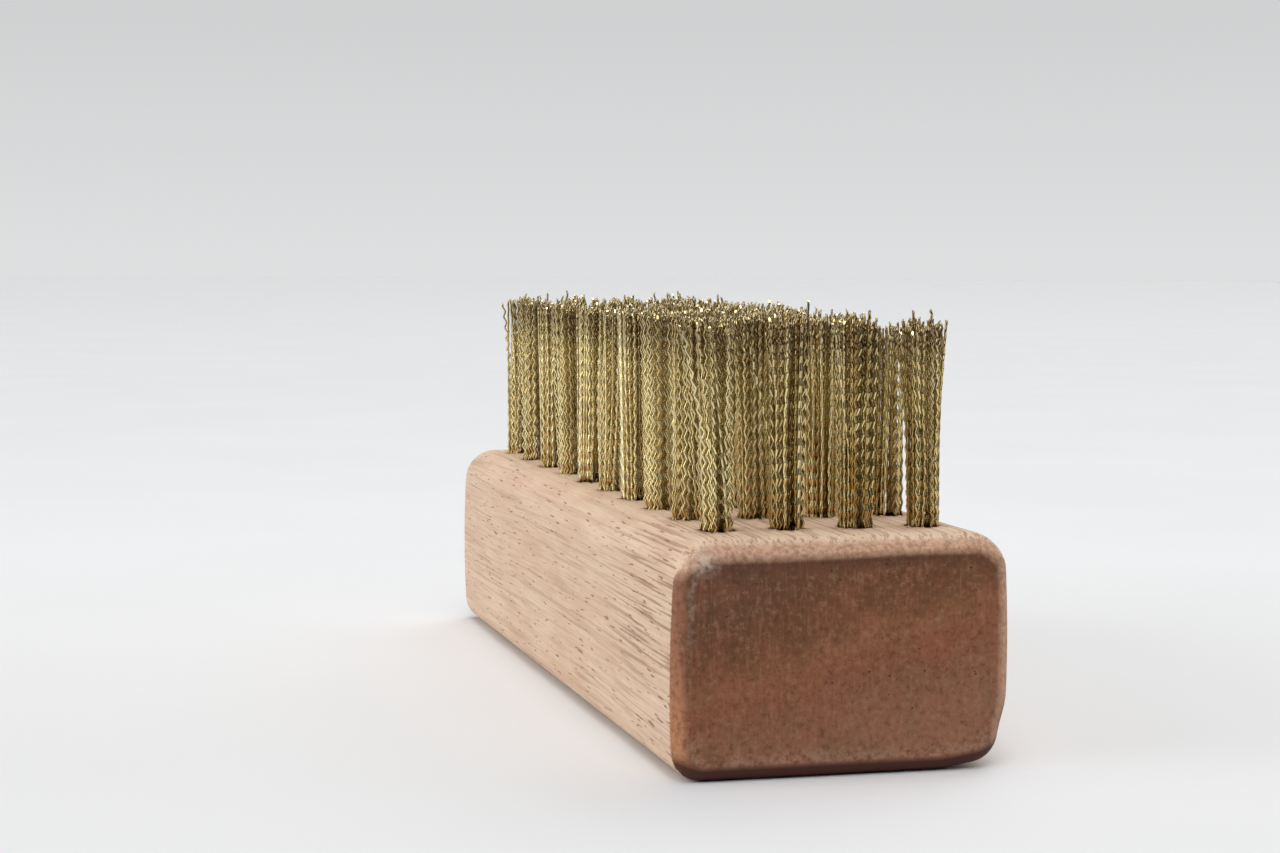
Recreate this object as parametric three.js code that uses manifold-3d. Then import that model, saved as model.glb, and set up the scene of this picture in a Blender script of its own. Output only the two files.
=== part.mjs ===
// Wire brush: a one-piece hardwood block with a grid of crimped brass wire tufts.
// Millimetres. Origin at the centre of the block's bottom face, +Y along the block, +Z towards the wire tips.
// Each tuft is a bundle of wires folded double round a flat metal anchor and driven into a blind hole.

import * as THREE from "three";
import { mergeVertices } from "three/addons/utils/BufferGeometryUtils.js";
import Module from "manifold-3d";

const wasm = await Module();
wasm.setup();

// ---- sizes -----------------------------------------------------------------

// Wooden block
const LENGTH = 96;
const WIDTH = 30;
const HEIGHT = 20.2;
const TOP_EDGE_RADIUS = 3.4; // long edges
const BOTTOM_EDGE_RADIUS = 2.6;
const END_EDGE_RADIUS = 1.55;
const SIDE_BULGE = 0.2; // the long sides are sanded very slightly convex

// Grid of tufts
const ROWS = 10;
const COLUMNS = 4;
const ROW_PITCH = 9.15;
const COLUMN_PITCH = 6.18;

// Blind hole for each tuft
const HOLE_RADIUS = 1.6;
const HOLE_DEPTH = 12;
const DRILL_POINT = 0.7;
const HOLE_SIDES = 12;

// Bundle of wires
const BUNDLE_CLEARANCE = 0.03;
const TRIM_HEIGHT = 18.1; // from the block's top face to the cut ends
const TIP_RADIUS = 1.78;
const TIP_ROUNDING = 0.4;
const LARGEST_LEAN = 0.35; // sideways, at the tips
const CLEFT_WIDTH = 0.36; // between the two legs of the folded bundle, where it leaves the anchor
const CLEFT_TOP = 6; // above the block, where the two legs have closed up

// Flat anchor, driven in across the fold with its length along the block
const ANCHOR_THICKNESS = 0.4;
const ANCHOR_LENGTH = 3.9;
const ANCHOR_HEIGHT = 1.8;
const FOLD_THICKNESS = 1.2; // wires under the anchor
const ANCHOR_CLEARANCE = 0.03;

const HOLE_FLOOR = HEIGHT - HOLE_DEPTH;
const ANCHOR_BOTTOM = HOLE_FLOOR + FOLD_THICKNESS;
const ANCHOR_TOP = ANCHOR_BOTTOM + ANCHOR_HEIGHT;

// ---- materials -------------------------------------------------------------

const WOOD = new THREE.MeshStandardMaterial({ color: 0xc79f7f, roughness: 0.7 });
const BRASS = new THREE.MeshStandardMaterial({ color: 0xb59a4a, roughness: 0.35, metalness: 1 });

// ---- joining and cutting ---------------------------------------------------

function solid(geometry) {
  const bare = geometry.clone();
  bare.deleteAttribute("normal");
  bare.deleteAttribute("uv");
  const merged = mergeVertices(bare, 1e-4);
  return new wasm.Manifold(
    new wasm.Mesh({
      numProp: 3,
      vertProperties: new Float32Array(merged.attributes.position.array),
      triVerts: new Uint32Array(merged.index.array),
    }),
  );
}

function toMesh(name, manifold, material) {
  const mesh = manifold.getMesh();
  const geometry = new THREE.BufferGeometry();
  geometry.setAttribute("position", new THREE.BufferAttribute(new Float32Array(mesh.vertProperties), 3));
  geometry.setIndex(new THREE.BufferAttribute(new Uint32Array(mesh.triVerts), 1));
  geometry.computeVertexNormals();
  const result = new THREE.Mesh(geometry, material);
  result.name = name;
  return result;
}

// A profile of [radius, height] pairs, listed upwards, turned about +Z.
function turned(profile, sides) {
  const points = profile.map(([radius, height]) => new THREE.Vector2(radius, height));
  return new THREE.LatheGeometry(points, sides).rotateX(Math.PI / 2);
}

function box(sizeX, sizeY, bottom, top) {
  return new THREE.BoxGeometry(sizeX, sizeY, top - bottom).translate(0, 0, (bottom + top) / 2);
}

// ---- grid ------------------------------------------------------------------

function tuftPlaces() {
  const places = [];
  for (let row = 0; row < ROWS; row++) {
    for (let column = 0; column < COLUMNS; column++) {
      places.push({
        name: `tuft_r${String(row + 1).padStart(2, "0")}_c${column + 1}`,
        row,
        column,
        x: (column - (COLUMNS - 1) / 2) * COLUMN_PITCH,
        y: (row - (ROWS - 1) / 2) * ROW_PITCH,
      });
    }
  }
  return places;
}

// ---- block -----------------------------------------------------------------

// The block seen from its end: flat bottom and top, rounded long edges, slightly convex sides.
function endOutline() {
  const side = WIDTH / 2 - SIDE_BULGE;
  const low = BOTTOM_EDGE_RADIUS;
  const high = TOP_EDGE_RADIUS;
  const middle = (low + HEIGHT - high) / 2;
  const outline = new THREE.Shape();
  outline.moveTo(low - side, 0);
  outline.lineTo(side - low, 0);
  outline.absarc(side - low, low, low, -Math.PI / 2, 0, false);
  outline.quadraticCurveTo(side + 2 * SIDE_BULGE, middle, side, HEIGHT - high);
  outline.absarc(side - high, HEIGHT - high, high, 0, Math.PI / 2, false);
  outline.lineTo(high - side, HEIGHT);
  outline.absarc(high - side, HEIGHT - high, high, Math.PI / 2, Math.PI, false);
  outline.quadraticCurveTo(-side - 2 * SIDE_BULGE, middle, -side, low);
  outline.absarc(low - side, low, low, Math.PI, 1.5 * Math.PI, false);
  return outline;
}

function blockBlank() {
  const straight = LENGTH - 2 * END_EDGE_RADIUS;
  return new THREE.ExtrudeGeometry(endOutline(), {
    depth: straight,
    steps: 1,
    curveSegments: 5,
    bevelEnabled: true,
    bevelThickness: END_EDGE_RADIUS,
    bevelSize: END_EDGE_RADIUS,
    bevelOffset: -END_EDGE_RADIUS,
    bevelSegments: 4,
  })
    .rotateX(Math.PI / 2)
    .translate(0, straight / 2, 0);
}

// One blind hole with its drill point, and the pocket its anchor bites into the wood.
function tuftHole() {
  const above = HEIGHT + 2;
  const bore = turned(
    [
      [0, HOLE_FLOOR - DRILL_POINT],
      [HOLE_RADIUS, HOLE_FLOOR],
      [HOLE_RADIUS, above],
      [0, above],
    ],
    HOLE_SIDES,
  );
  const pocket = box(
    ANCHOR_THICKNESS + 2 * ANCHOR_CLEARANCE,
    ANCHOR_LENGTH + 2 * ANCHOR_CLEARANCE,
    ANCHOR_BOTTOM - ANCHOR_CLEARANCE,
    ANCHOR_TOP + ANCHOR_CLEARANCE,
  );
  return solid(bore).add(solid(pocket));
}

function makeBlock() {
  const hole = tuftHole();
  let block = solid(blockBlank());
  for (const place of tuftPlaces()) {
    block = block.subtract(hole.translate([place.x, place.y, 0]));
  }
  return toMesh("block", block, WOOD);
}

// ---- tufts -----------------------------------------------------------------

// The gap between the bundle's two legs: widest on the anchor, closing to nothing above the block.
function cleft() {
  const top = HEIGHT + CLEFT_TOP;
  const wedge = new THREE.Shape();
  wedge.moveTo(-CLEFT_WIDTH / 2, ANCHOR_BOTTOM);
  wedge.lineTo(CLEFT_WIDTH / 2, ANCHOR_BOTTOM);
  wedge.lineTo(CLEFT_WIDTH / 2, ANCHOR_TOP);
  wedge.lineTo(0, top);
  wedge.lineTo(-CLEFT_WIDTH / 2, ANCHOR_TOP);
  const length = 4 * HOLE_RADIUS;
  return new THREE.ExtrudeGeometry(wedge, { depth: length, bevelEnabled: false })
    .rotateX(Math.PI / 2)
    .translate(0, length / 2, 0);
}

function foldedBundle() {
  const radius = HOLE_RADIUS - BUNDLE_CLEARANCE;
  const floor = HOLE_FLOOR + BUNDLE_CLEARANCE;
  const tip = HEIGHT + TRIM_HEIGHT;
  return turned(
    [
      [0, floor],
      [0.62 * radius, floor + 0.14 * FOLD_THICKNESS],
      [radius, floor + FOLD_THICKNESS],
      [radius, HEIGHT + 0.5],
      [TIP_RADIUS, tip - TIP_ROUNDING],
      [TIP_RADIUS - TIP_ROUNDING, tip],
      [0, tip],
    ],
    HOLE_SIDES,
  );
}

function anchor() {
  return box(ANCHOR_THICKNESS, ANCHOR_LENGTH, ANCHOR_BOTTOM, ANCHOR_TOP);
}

// Each bundle leans a little its own way above the block, and stays straight inside its hole.
function leanOf(place) {
  const turn = Math.sin(12.9898 * (place.row + 1) + 78.233 * (place.column + 1)) * 43758.5453;
  const angle = 2 * Math.PI * (turn - Math.floor(turn));
  const amount = LARGEST_LEAN * (0.35 + 0.65 * Math.abs(Math.cos(3 * angle)));
  return [amount * Math.cos(angle), amount * Math.sin(angle)];
}

function makeTuft(place) {
  const [leanX, leanY] = leanOf(place);
  const root = HEIGHT + 0.4;
  const bundle = solid(foldedBundle()).subtract(solid(cleft())).add(solid(anchor()));
  const tuft = bundle.warp((vertex) => {
    const rise = Math.max(0, (vertex[2] - root) / (HEIGHT + TRIM_HEIGHT - root));
    vertex[0] += place.x + leanX * rise;
    vertex[1] += place.y + leanY * rise;
  });
  return toMesh(place.name, tuft, BRASS);
}

// ---- assembly --------------------------------------------------------------

const group = new THREE.Group();
group.name = "wire_brush";
group.add(makeBlock());
for (const place of tuftPlaces()) {
  group.add(makeTuft(place));
}

export default group;
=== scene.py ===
# Wire brush: the visual model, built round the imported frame.
# Metres in Blender; sizes below are in millimetres. Origin at the centre of the block's bottom face,
# +Y along the block, +X across it, +Z towards the wire tips. The near end in the main view is at -Y.

import math

import bpy
import numpy as np
from mathutils import Matrix, Vector
from mathutils.geometry import delaunay_2d_cdt


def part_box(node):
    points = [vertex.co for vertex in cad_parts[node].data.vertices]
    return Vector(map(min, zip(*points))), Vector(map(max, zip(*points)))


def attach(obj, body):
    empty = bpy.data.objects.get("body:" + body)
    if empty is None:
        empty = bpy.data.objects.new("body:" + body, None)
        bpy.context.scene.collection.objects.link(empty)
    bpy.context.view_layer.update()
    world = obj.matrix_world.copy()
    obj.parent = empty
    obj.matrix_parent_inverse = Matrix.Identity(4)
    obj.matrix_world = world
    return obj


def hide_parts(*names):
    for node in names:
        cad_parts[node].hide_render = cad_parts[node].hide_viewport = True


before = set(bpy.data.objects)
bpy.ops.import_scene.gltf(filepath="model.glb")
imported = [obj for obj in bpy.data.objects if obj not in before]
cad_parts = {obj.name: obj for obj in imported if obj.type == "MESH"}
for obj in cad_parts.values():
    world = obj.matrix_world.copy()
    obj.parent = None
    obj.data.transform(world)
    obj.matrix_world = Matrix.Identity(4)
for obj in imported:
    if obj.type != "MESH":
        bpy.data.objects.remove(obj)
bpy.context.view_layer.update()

MM = 0.001
SEED = 4107

# ---- sizes, in millimetres ---------------------------------------------------------------------

block_low, block_high = (np.array(corner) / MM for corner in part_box("block"))
LENGTH = float(block_high[1] - block_low[1])
WIDTH = float(block_high[0] - block_low[0])
HEIGHT = float(block_high[2])
TOP_EDGE = 3.4  # the radii of the block's rounded edges
BOTTOM_EDGE = 2.6
END_EDGE = 1.55
SIDE_BULGE = 0.2

ROWS = 10
COLUMNS = 4
ROW_PITCH = 9.15
COLUMN_PITCH = 6.18
HOLE_RADIUS = 1.6
HOLE_FLOOR = HEIGHT - 12
DRILL_POINT = 0.7  # the depth of the cone below a hole's floor

TRIM = 18.1  # from the block's top to the tips
WIRE_RADIUS = 0.116
WIRE_SPACING = 0.345  # between the middles of neighbouring wires at the hole's mouth
WIRE_SIDES = 5
CRIMP_LENGTH = 1.27  # of a whole wave
CRIMP_SWING = 0.128  # to either side
CRIMP_BEND = 0.45  # how far from the middle of a crimp its bend reaches, in radians
BEND_SHARPNESS = 0.97  # at 1 the bends would have no roundness
TIP_POINTS = 14  # along a leg above its top crimp
FOLD_POINTS = 7
LEG_GAP = 0.27  # from the tuft's middle plane, where the anchor stands, to the nearest leg
MOUTH_GAP = 0.15  # from the hole's wall to the nearest leg

ANCHOR = (0.4, 3.9, 1.8)  # its thickness, length and height
ANCHOR_EDGE = 0.12  # the radius of its long edges
ANCHOR_BOTTOM = HOLE_FLOOR + 1.2
LOWEST_CRIMP = ANCHOR_BOTTOM + 0.3
FREE_CRIMP = HEIGHT - 1.5  # below this the crimps are deep in the hole and need only one point
TOP_CRIMP = HEIGHT + TRIM - 2.6
LOWEST_TIP = HEIGHT + TRIM - 2.7


def tuft_places():
    for row in range(ROWS):
        for column in range(COLUMNS):
            x = (column - (COLUMNS - 1) / 2) * COLUMN_PITCH
            y = (row - (ROWS - 1) / 2) * ROW_PITCH
            yield row, column, x, y, f"r{row + 1:02d}_c{column + 1}"


# Habits of the tufts towards the near end, by row and column: the lean of the left and right halves at
# the tips (x, y); how much taller than the rest they are; and the direction of their crimps in radians
# (0 is along X).
HABITS = {
    (0, 0): {"leans": ((-0.50, 0.0), (-0.30, 0.05)), "taller": -0.2, "crimps": 0.45},
    (0, 1): {"leans": ((-0.10, 0.0), (0.05, 0.0)), "taller": 0.05, "crimps": 1.35},
    (0, 2): {"leans": ((-0.20, 0.0), (0.25, 0.05)), "taller": -0.2, "crimps": 1.5},
    (0, 3): {"leans": ((-0.30, 0.0), (-0.10, 0.0)), "taller": -0.4, "crimps": 1.05},
    (1, 2): {"leans": ((-0.35, 0.0), (0.15, 0.0)), "taller": -0.2, "crimps": 0.9},
    (1, 3): {"leans": ((0.0, 0.0), (0.30, 0.0)), "taller": -1.1, "crimps": 1.1},
    (2, 3): {"taller": -0.7},
    (3, 3): {"taller": -0.5},
}

# Wires of those tufts that bend away, each as the x and y of its root, the height above the block where
# it leaves, its tilt in x and y, how much taller it is than its tuft, and how strong its crimp is.
BENT_WIRES = {
    (0, 0): (
        (-1.3, -0.6, 5.5, -0.16, 0.01, 0.2, 1.0),
        (-1.35, 0.3, 7.0, -0.13, 0.0, -0.4, 1.0),
        (-1.2, -0.9, 8.5, -0.18, -0.03, -0.6, 1.0),
        (-1.0, -1.1, 6.5, -0.10, -0.02, 0.3, 1.0),
        (-1.1, 0.8, 9.0, -0.20, 0.02, -0.3, 1.0),
        (0.35, -1.4, 0.5, -0.055, -0.01, -1.5, 0.25),
    ),
    (0, 1): (
        (-1.4, -0.3, 6.3, -0.21, -0.02, -0.8, 0.8),
        (-1.2, -0.8, 11.0, -0.10, 0.0, 0.1, 1.0),
        (-1.2, 0.5, 12.0, -0.11, 0.0, -0.3, 1.0),
        (1.35, -0.4, 2.0, 0.012, 0.0, 1.2, 0.3),
    ),
    (0, 2): (
        (-1.2, -0.5, 12.5, -0.10, 0.0, 0.3, 1.0),
        (1.3, 0.4, 13.0, 0.07, 0.0, 0.2, 0.8),
    ),
    (0, 3): (
        (1.4, 0.1, 11.5, 0.14, 0.0, -1.3, 0.9),
        (-1.3, 0.0, 13.5, -0.12, 0.0, 0.3, 1.0),
    ),
}


def cad_lean(row, column):
    """The lean of the tips that the CAD tuft has."""
    turn = math.sin(12.9898 * (row + 1) + 78.233 * (column + 1)) * 43758.5453
    angle = 2 * math.pi * (turn - math.floor(turn))
    amount = 0.35 * (0.35 + 0.65 * abs(math.cos(3 * angle)))
    return np.array([amount * math.cos(angle), amount * math.sin(angle)])


# ---- meshes --------------------------------------------------------------------------------------


def mesh_object(name, vertices, faces, smooth=True):
    """A new object in the scene: vertices in millimetres, faces as lists of vertex numbers."""
    mesh = bpy.data.meshes.new(name)
    vertices = np.asarray(vertices, dtype=np.float64) * MM
    sizes = np.array([len(face) for face in faces], dtype=np.int32)
    corners = np.concatenate([np.asarray(face, dtype=np.int32) for face in faces])
    mesh.vertices.add(len(vertices))
    mesh.vertices.foreach_set("co", vertices.astype(np.float32).ravel())
    mesh.loops.add(len(corners))
    mesh.loops.foreach_set("vertex_index", corners)
    mesh.polygons.add(len(sizes))
    starts = np.concatenate([[0], np.cumsum(sizes)[:-1]]).astype(np.int32)
    mesh.polygons.foreach_set("loop_start", starts)
    mesh.polygons.foreach_set("use_smooth", np.broadcast_to(smooth, len(sizes)).astype(bool))
    mesh.update(calc_edges=True)
    obj = bpy.data.objects.new(name, mesh)
    bpy.context.scene.collection.objects.link(obj)
    return obj


def point_attribute(obj, name, values):
    layer = obj.data.attributes.new(name, "FLOAT", "POINT")
    layer.data.foreach_set("value", np.asarray(values, dtype=np.float32))


def smoothstep(value, low, high):
    t = np.clip((value - low) / (high - low), 0, 1)
    return t * t * (3 - 2 * t)


# ---- shader nodes --------------------------------------------------------------------------------


class NodeTree:
    """A shader node tree, with one call for each node that it needs."""

    def __init__(self, tree):
        self.tree = tree

    def put(self, socket, value):
        if isinstance(value, bpy.types.NodeSocket):
            self.tree.links.new(value, socket)
        elif value is not None:
            socket.default_value = value

    def node(self, kind, inputs=(), **settings):
        made = self.tree.nodes.new("ShaderNode" + kind)
        for key, value in settings.items():
            setattr(made, key, value)
        for key, value in dict(inputs).items():
            self.put(made.inputs[key], value)
        return made

    def remap(self, value, low, high, to_low=0.0, to_high=1.0, smooth=False):
        kind = "SMOOTHSTEP" if smooth else "LINEAR"
        inputs = {"Value": value, "From Min": low, "From Max": high, "To Min": to_low,
                  "To Max": to_high}
        return self.node("MapRange", inputs, interpolation_type=kind).outputs["Result"]

    def math(self, operation, a, b=None, c=None):
        inputs = {index: value for index, value in enumerate((a, b, c)) if value is not None}
        return self.node("Math", inputs, operation=operation).outputs[0]

    def vector(self, operation, a, b):
        """The result of a vector operation: a number for a distance or a dot product."""
        outputs = self.node("VectorMath", {0: a, 1: b}, operation=operation).outputs
        return outputs["Value" if operation in ("DISTANCE", "DOT_PRODUCT") else "Vector"]


class Shader(NodeTree):
    """A new material's nodes."""

    def __init__(self, name):
        self.material = bpy.data.materials.new(name)
        self.material.use_nodes = True
        super().__init__(self.material.node_tree)
        self.bsdf = self.tree.nodes["Principled BSDF"]

    def place(self, scale=(1, 1, 1), offset=(0, 0, 0)):
        """Object coordinates in millimetres, stretched by scale."""
        coords = self.node("TexCoord").outputs["Object"]
        inputs = {"Vector": coords, "Scale": [s / MM for s in scale], "Location": offset}
        return self.node("Mapping", inputs).outputs["Vector"]

    def noise(self, vector, scale=1.0, detail=2.0, rough=0.5, distortion=0.0):
        inputs = {"Vector": vector, "Scale": scale, "Detail": detail, "Roughness": rough,
                  "Distortion": distortion}
        return self.node("TexNoise", inputs).outputs["Fac"]

    def mix(self, factor, a, b, blend="MIX"):
        made = self.tree.nodes.new("ShaderNodeMix")
        made.data_type = "RGBA"
        made.blend_type = blend
        made.clamp_result = True
        self.put(made.inputs["Factor"], factor)
        for socket, value in ((made.inputs[6], a), (made.inputs[7], b)):
            self.put(socket, value if isinstance(value, bpy.types.NodeSocket) else (*value, 1.0))
        return made.outputs[2]

    def ramp(self, value, stops):
        """A colour that follows value (0 to 1) through stops of (place, colour)."""
        made = self.node("ValToRGB", {"Fac": value})
        elements = made.color_ramp.elements
        for index, (place, colour) in enumerate(stops):
            element = elements[index] if index < 2 else elements.new(place)
            element.position = place
            element.color = (*colour, 1.0)
        return made.outputs["Color"]

    def attribute(self, name):
        return self.node("Attribute", attribute_name=name, attribute_type="GEOMETRY").outputs["Fac"]

    def bump(self, height, distance_mm, strength=1.0, normal=None):
        inputs = {"Height": height, "Distance": distance_mm * MM, "Strength": strength}
        if normal is not None:
            inputs["Normal"] = normal
        return self.node("Bump", inputs).outputs["Normal"]

    def finish(self, **sockets):
        for key, value in sockets.items():
            self.put(self.bsdf.inputs[key.replace("_", " ")], value)
        return self.material


# The bands of colour on the end grain, from the bottom right to the top left, darker towards the top left:
# (millimetres across the bands, colour).
BANDS = (
    (2.0, (0.326, 0.150, 0.088)),
    (5.0, (0.300, 0.132, 0.073)),
    (8.0, (0.285, 0.106, 0.057)),
    (9.5, (0.292, 0.110, 0.053)),
    (11.0, (0.300, 0.121, 0.055)),
    (13.0, (0.214, 0.085, 0.040)),
    (16.0, (0.165, 0.067, 0.031)),
    (19.0, (0.145, 0.067, 0.036)),
)
BANDS_FROM, BANDS_TO = -4.0, 24.0
ACROSS_BANDS = (-0.27, 0.0, 1.0)
CHIP = (-12.25, -47.7, 18.45)
BLACK = (0.0, 0.0, 0.0)


def side_grain(s, spot):
    """The side grain's colour, its finest streaks, and its dark lines and flecks, which are grooves too."""
    # Slow waves in the grain, so that streaks don't run ruler-straight.
    sway = s.node("TexNoise", {"Vector": s.place((0.05, 0.018, 0.05)), "Scale": 1.0, "Detail": 1.0})
    drift = s.vector("SUBTRACT", sway.outputs["Color"], (0.5, 0.5, 0.5))
    grain = s.vector("ADD", s.place(), s.vector("MULTIPLY", drift, (1.6, 0.0, 1.6)))

    def stretched(across, lengthwise, shift=(0, 0, 0)):
        scale = (across, lengthwise, across)
        return s.node("Mapping", {"Vector": grain, "Scale": scale, "Location": shift}).outputs["Vector"]

    streak = s.noise(stretched(1.0, 0.03), detail=4.0, rough=0.62)
    dashes = s.noise(stretched(3.2, 0.05, (5, 1, 8)), detail=3.0, rough=0.5)
    fine = s.noise(stretched(5.0, 0.08, (7, 3, 1)), detail=3.0, rough=0.6)
    blotch = s.noise(stretched(0.30, 0.09, (2, 5, 9)), detail=3.0, rough=0.6)
    cells = s.noise(stretched(4.2, 0.38, (3, 8, 4)), detail=1.0, rough=0.4)
    zone = s.noise(stretched(0.16, 0.05, (11, 2, 6)), detail=1.0)
    patch = s.noise(stretched(0.22, 0.035, (4, 9, 2)), detail=1.0)

    # Light tan with pinker blotches and soft darker streaks.
    colour = s.mix(s.remap(blotch, 0.38, 0.62), (0.785, 0.597, 0.437), (0.725, 0.512, 0.368))
    colour = s.mix(s.remap(fine, 0.44, 0.70, 0, 0.42), colour, (0.52, 0.335, 0.22))
    colour = s.mix(s.remap(streak, 0.53, 0.66, 0, 0.38, smooth=True), colour, (0.48, 0.305, 0.20))

    # Thin dark lines, most of them in the upper half towards the near end.
    near = s.remap(spot["Y"], -16, -38, smooth=True)
    upper = s.remap(spot["Z"], 4.5, 10, smooth=True)
    lined = s.math("MAXIMUM", s.math("MULTIPLY", near, upper), s.remap(patch, 0.45, 0.65, 0.08, 0.5))
    lined = s.math("MULTIPLY", lined, s.remap(spot["Z"], 17.5, 19.8, 0.80, 0.62))
    lines = s.math("MULTIPLY", s.remap(dashes, 0.51, 0.61, smooth=True), lined)
    colour = s.mix(lines, colour, (0.36, 0.205, 0.13))

    # Short red-brown pore flecks, most of them in the lower half by the near end.
    low_near = s.math("MULTIPLY", s.remap(spot["Y"], -34, -45), s.remap(spot["Z"], 10, 5))
    likely = s.math("MAXIMUM", s.math("MULTIPLY", low_near, 0.05), s.remap(zone, 0.45, 0.65, -0.16, -0.05))
    flecks = s.remap(s.math("ADD", cells, likely), 0.675, 0.73, smooth=True)
    colour = s.mix(s.math("MULTIPLY", flecks, 0.75), colour, (0.26, 0.105, 0.065))
    return colour, fine, s.math("ADD", flecks, lines)


def end_grain(s, speck):
    """The end grain's colour, in bands with soft pale mottling, and its small open pores."""
    bend = s.noise(s.place((0.11, 0.11, 0.11), (3, 7, 5)), detail=2.0)
    ripple = s.noise(s.place((0.9, 0.9, 0.9), (8, 2, 6)), detail=2.0)
    across = s.vector("DOT_PRODUCT", s.place(), ACROSS_BANDS)
    across = s.math("ADD", across, s.remap(bend, 0.2, 0.8, -1.6, 1.6))
    across = s.math("ADD", across, s.remap(ripple, 0.2, 0.8, -0.7, 0.7))
    span = BANDS_TO - BANDS_FROM
    stops = [((at - BANDS_FROM) / span, band) for at, band in BANDS]
    colour = s.ramp(s.remap(across, BANDS_FROM, BANDS_TO), stops)

    mottle = s.noise(s.place((0.42, 0.42, 0.30), (4, 1, 2)), detail=4.0, rough=0.65)
    colour = s.mix(s.remap(mottle, 0.46, 0.68, 0, 0.55), colour, (0.34, 0.120, 0.068))
    colour = s.mix(s.remap(mottle, 0.50, 0.30, 0, 0.50), colour, (0.215, 0.110, 0.056))
    brushed = s.noise(s.place((3.2, 0.4, 0.50), (1, 4, 9)), detail=2.0)
    colour = s.mix(s.remap(speck, 0.52, 0.76, 0, 0.42), colour, (0.50, 0.30, 0.175))
    colour = s.mix(s.remap(speck, 0.47, 0.28, 0, 0.60), colour, (0.095, 0.038, 0.018))
    colour = s.mix(s.remap(brushed, 0.52, 0.75, 0, 0.32), colour, (0.42, 0.22, 0.12))

    cells = s.node("TexVoronoi", {"Vector": s.place((0.95, 0.02, 0.95)), "Scale": 1.0, "Randomness": 1.0})
    chosen = s.remap(s.noise(s.place((0.3, 0.3, 0.3), (1, 7, 5)), detail=1.0), 0.47, 0.53)
    pores = s.math("MULTIPLY", s.remap(cells.outputs["Distance"], 0.12, 0.06), chosen)
    colour = s.mix(s.math("MULTIPLY", pores, 0.8), colour, (0.045, 0.018, 0.010))
    return s.mix(0.09, colour, BLACK), pores


def end_rim(s, colour, spot, border, speck):
    """Just inside the flat end face's edge the top is darkest and the bottom is rubbed pale in patches."""
    rim = s.math("MULTIPLY", s.remap(border, -1.1, -0.1), s.remap(border, 0.30, 0.05))
    high = s.math("MULTIPLY", rim, s.remap(spot["Z"], 14, 17, 0, 0.45))
    colour = s.mix(high, colour, (0.100, 0.042, 0.022))
    low = s.math("MULTIPLY", rim, s.remap(spot["Z"], 4.2, 3.0))
    low = s.math("MULTIPLY", low, s.remap(speck, 0.42, 0.62))
    return s.mix(s.math("MULTIPLY", low, 0.45), colour, (0.46, 0.29, 0.21))


def sanded_edges(s, colour, spot, border, speck, fine):
    """The end grain's colour with its rounded-over edges, and how much of it shows: 0 on the side grain.

    The top and right edges are sanded paler and pinker, and the side grain comes round on to them; where
    they face up or right they are painted paler still, as painted light. The left one is redder, and the
    bottom one is painted darker where it faces down, as painted shade."""
    facing = s.node("SeparateXYZ", {"Vector": s.node("TexCoord").outputs["Normal"]}).outputs
    upward = s.remap(facing["Z"], 0.02, 0.40)
    rightward = s.remap(facing["X"], 0.05, 0.5)
    leftward = s.remap(facing["X"], -0.10, -0.50, 0, 0.85)
    rounded = s.math("MULTIPLY", s.remap(border, 0.0, 0.30), s.remap(border, 3.9, 3.0))

    reddened = s.math("MULTIPLY", leftward, s.remap(speck, 0.33, 0.60, 0.25, 1.0))
    redder = s.mix(s.remap(spot["Z"], 15, 3), (0.260, 0.100, 0.055), (0.520, 0.230, 0.110))
    colour = s.mix(s.math("MULTIPLY", rounded, reddened), colour, redder)
    # Painted light: up- and right-facing parts of the rounded edges are painted paler, beyond the paleness
    # of sanding.
    sanded = s.math("MAXIMUM", s.remap(upward, 0, 1, 0.06, 0.97), s.remap(rightward, 0, 1, 0.06, 0.78))
    pale_and_lit = s.math("MULTIPLY", s.math("MULTIPLY", rounded, sanded), s.remap(speck, 0.36, 0.60, 0.50, 1.0))
    colour = s.mix(pale_and_lit, colour, (0.69, 0.425, 0.285))
    # Painted shade: down-facing parts of the rounded edges are painted dark.
    under = s.math("MULTIPLY", s.remap(facing["Z"], -0.05, -0.38), s.remap(border, 0.0, 0.3, 0, 0.95))
    colour = s.mix(under, colour, (0.070, 0.024, 0.018))

    ragged = s.math("ADD", s.math("ABSOLUTE", facing["Y"]), s.remap(fine, 0.3, 0.7, -0.06, 0.06))
    ragged = s.math("ADD", ragged, s.remap(speck, 0.3, 0.7, -0.05, 0.05))
    # More of the paler side grain shows where the edges face up or right: partly painted light.
    soft_edge = s.math("MAXIMUM", upward, s.math("MULTIPLY", rightward, 0.7))
    begins, ends = s.remap(soft_edge, 0, 1, 0.05, 0.50), s.remap(soft_edge, 0, 1, 0.24, 0.80)
    return colour, s.remap(ragged, begins, ends, smooth=True)


def rubbed_marks(s, colour, border, speck):
    """Adds a thin chalky line where the left edge has rubbed, and a small chip at its top."""
    wander = s.noise(s.place((0.7, 0.7, 0.7), (6, 6, 1)), detail=3.0, rough=0.6)
    wobble = s.remap(wander, 0.2, 0.8, -0.30, 0.30)
    off_line = s.math("ABSOLUTE", s.math("ADD", s.math("ADD", border, 0.15), wobble))
    rubbed = s.math("MULTIPLY", s.remap(off_line, 0.34, 0.06), s.attribute("left_edge"))
    rubbed = s.math("MULTIPLY", rubbed, s.remap(speck, 0.38, 0.62, 0.10, 0.45))
    colour = s.mix(rubbed, colour, (0.54, 0.42, 0.32))
    from_chip = s.vector("DISTANCE", s.place(), CHIP)
    halo = s.math("MULTIPLY", s.remap(from_chip, 1.7, 0.6), s.remap(speck, 0.36, 0.60, 0.10, 0.50))
    colour = s.mix(halo, colour, (0.58, 0.42, 0.34))
    chip = s.remap(s.math("ADD", from_chip, s.remap(speck, 0.3, 0.7, 0.25, -0.25)), 0.70, 0.25)
    return s.mix(s.math("MULTIPLY", chip, 0.55), colour, (0.68, 0.57, 0.44)), chip


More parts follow.
